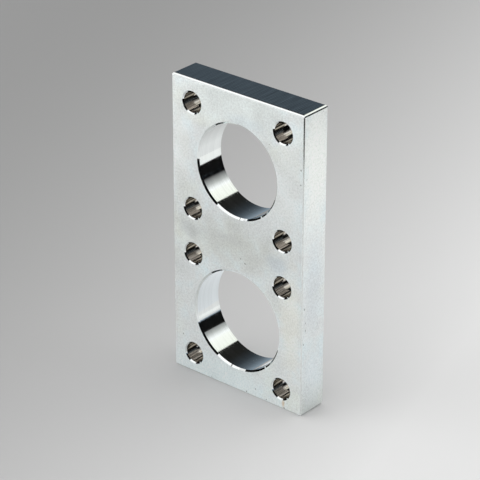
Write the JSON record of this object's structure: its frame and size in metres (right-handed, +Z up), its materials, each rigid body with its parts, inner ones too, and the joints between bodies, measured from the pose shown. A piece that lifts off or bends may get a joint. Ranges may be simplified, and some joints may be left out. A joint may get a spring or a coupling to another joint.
{
  "type": "twin-bore mounting plate",
  "caption": "Upright rectangular aluminium plate with two large through bores one above the other, each inside a square of screw holes, and chamfered edges.",
  "frame": {"origin": "middle of the lower short end, on the surface that the plate stands on", "axes": "+Z up the plate's length, from the larger bore to the smaller one; X across its width; Y through its thickness, along both bores, with the front face towards -Y"},
  "size_m": [0.0676, 0.0144, 0.133],
  "materials": {
    "machined_aluminium": "fine milled faces with a satin sheen, bright turned bores"
  },
  "bodies": {
    "root": {"bore_plate": "machined_aluminium"}
  },
  "joints": []
}
